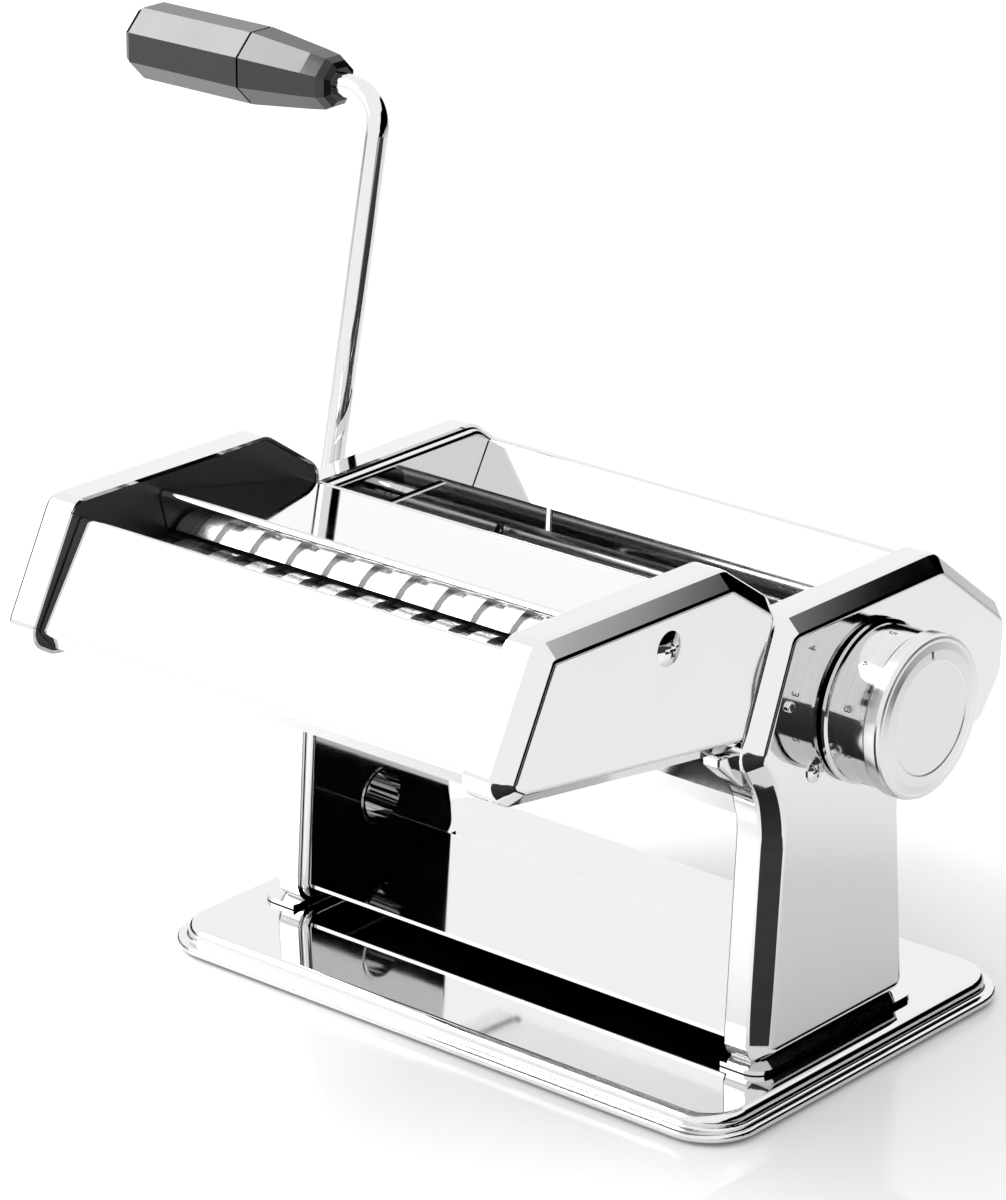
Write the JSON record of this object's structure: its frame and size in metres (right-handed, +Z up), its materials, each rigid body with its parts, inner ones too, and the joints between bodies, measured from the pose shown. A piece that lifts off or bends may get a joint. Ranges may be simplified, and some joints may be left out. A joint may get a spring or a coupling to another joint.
{
  "type": "pasta roller machine",
  "caption": "Hand-cranked dough sheeter on a rectangular base, with a slide-on cutter head in front, a thickness knob and a removable crank with an octagonal grip.",
  "frame": {"origin": "centre of the base, in the plane that the rubber feet stand on", "axes": "+X towards the thickness knob, -X towards the crank, -Y towards the cutter head, +Z up"},
  "size_m": [0.3108, 0.2163, 0.2399],
  "materials": {
    "polished_chrome": "polished chrome-plated sheet steel",
    "bright_steel": "bright drawn and machined steel",
    "turned_aluminium": "fine-turned anodised aluminium",
    "blackened_steel": "steel plate with a smooth black finish",
    "black_plastic": "moulded black plastic",
    "grip_plastic": "gloss black moulded plastic",
    "bush_bronze": "sintered bronze",
    "foot_rubber": "soft black rubber"
  },
  "bodies": {
    "machine_frame": {"base_tray": "polished_chrome", "rubber_feet": "foot_rubber", "base_screws": "bright_steel", "base_nuts": "bright_steel", "cross_plate": "polished_chrome", "left_side_cover": "polished_chrome", "right_side_cover": "polished_chrome", "left_inner_plate": "polished_chrome", "right_inner_plate": "polished_chrome", "left_clamp_socket": "polished_chrome", "right_clamp_socket": "polished_chrome", "rear_cover": "polished_chrome", "front_cover": "polished_chrome", "left_fender": "polished_chrome", "right_fender": "polished_chrome", "body_tie_rods": "bright_steel", "front_scraper": "black_plastic", "rear_scraper": "black_plastic", "front_bushes": "bush_bronze", "cover_posts": "bright_steel", "cover_screws": "polished_chrome", "index_pin": "polished_chrome"},
    "roller_carriage": {"left_bearing_block": "bright_steel", "right_bearing_block": "bright_steel"},
    "rear_roller_set": {"rear_roller": "turned_aluminium", "rear_roller_gear": "bright_steel"},
    "front_roller_set": {"front_roller": "turned_aluminium", "front_roller_gear": "bright_steel"},
    "crank": {"crank_rod": "polished_chrome"},
    "grip": {"crank_grip": "grip_plastic", "grip_cap": "grip_plastic"},
    "knob_shaft": {"knob_post": "bright_steel", "knob_cam": "bright_steel"},
    "knob": {"knob_drum": "polished_chrome", "knob_cap": "turned_aluminium"},
    "cutter_head": {"cutter_left_cap": "polished_chrome", "cutter_right_cap": "polished_chrome", "cutter_left_frame": "blackened_steel", "cutter_right_frame": "blackened_steel", "cutter_front_panel": "polished_chrome", "cutter_top_plate": "polished_chrome", "cutter_rear_panel": "polished_chrome", "cutter_tie_rods": "bright_steel", "cap_screws": "polished_chrome", "cutter_bushes": "bush_bronze", "wide_comb_front": "black_plastic", "wide_comb_rear": "black_plastic", "narrow_comb_front": "black_plastic", "narrow_comb_rear": "black_plastic"},
    "wide_front_set": {"wide_cutter_front": "turned_aluminium", "wide_gear_front": "bright_steel"},
    "wide_rear_set": {"wide_cutter_rear": "turned_aluminium", "wide_gear_rear": "bright_steel"},
    "narrow_front_set": {"narrow_cutter_front": "turned_aluminium", "narrow_gear_front": "bright_steel"},
    "narrow_rear_set": {"narrow_cutter_rear": "turned_aluminium", "narrow_gear_rear": "bright_steel"}
  },
  "joints": [
    {"name": "roller_shift", "type": "slide", "parent": "machine_frame", "child": "roller_carriage", "axis": [0, 1, 0], "range_m": [0, 0.0022]},
    {"name": "crank_turn", "type": "hinge", "parent": "roller_carriage", "child": "rear_roller_set", "pos_m": [0, 0.01, 0.103], "axis": [1, 0, 0], "continuous": true},
    {"name": "front_roller_spin", "type": "hinge", "parent": "machine_frame", "child": "front_roller_set", "pos_m": [0, -0.0191, 0.103], "axis": [1, 0, 0], "continuous": true},
    {"name": "crank_pull", "type": "slide", "parent": "rear_roller_set", "child": "crank", "axis": [-1, 0, 0], "range_m": [0, 0.03]},
    {"name": "grip_spin", "type": "hinge", "parent": "crank", "child": "grip", "pos_m": [-0.16, 0.0366, 0.2292], "axis": [1, 0, 0], "continuous": true},
    {"name": "knob_turn", "type": "hinge", "parent": "machine_frame", "child": "knob_shaft", "pos_m": [0.095, 0.01, 0.103], "axis": [1, 0, 0], "range_deg": [0, 315]},
    {"name": "knob_pull", "type": "slide", "parent": "knob_shaft", "child": "knob", "axis": [1, 0, 0], "range_m": [0, 0.004], "stiffness_N_per_m": 1500},
    {"name": "cutter_slide", "type": "slide", "parent": "machine_frame", "child": "cutter_head", "axis": [0, 0.3714, 0.9285], "range_m": [0, 0.06]},
    {"name": "wide_cutter_spin", "type": "hinge", "parent": "cutter_head", "child": "wide_rear_set", "pos_m": [0, -0.093, 0.128], "axis": [1, 0, 0], "continuous": true},
    {"name": "wide_front_spin", "type": "hinge", "parent": "cutter_head", "child": "wide_front_set", "pos_m": [0, -0.115, 0.128], "axis": [1, 0, 0], "continuous": true},
    {"name": "narrow_cutter_spin", "type": "hinge", "parent": "cutter_head", "child": "narrow_front_set", "pos_m": [0, -0.0703, 0.121], "axis": [1, 0, 0], "continuous": true},
    {"name": "narrow_rear_spin", "type": "hinge", "parent": "cutter_head", "child": "narrow_rear_set", "pos_m": [0, -0.0483, 0.121], "axis": [1, 0, 0], "continuous": true}
  ],
  "couplings": [
    {"joint": "knob_turn", "follows": "roller_shift", "rad_per_m": 2498.9},
    {"joint": "front_roller_spin", "follows": "crank_turn", "ratio": -1},
    {"joint": "wide_front_spin", "follows": "wide_cutter_spin", "ratio": -1},
    {"joint": "narrow_rear_spin", "follows": "narrow_cutter_spin", "ratio": -1}
  ]
}
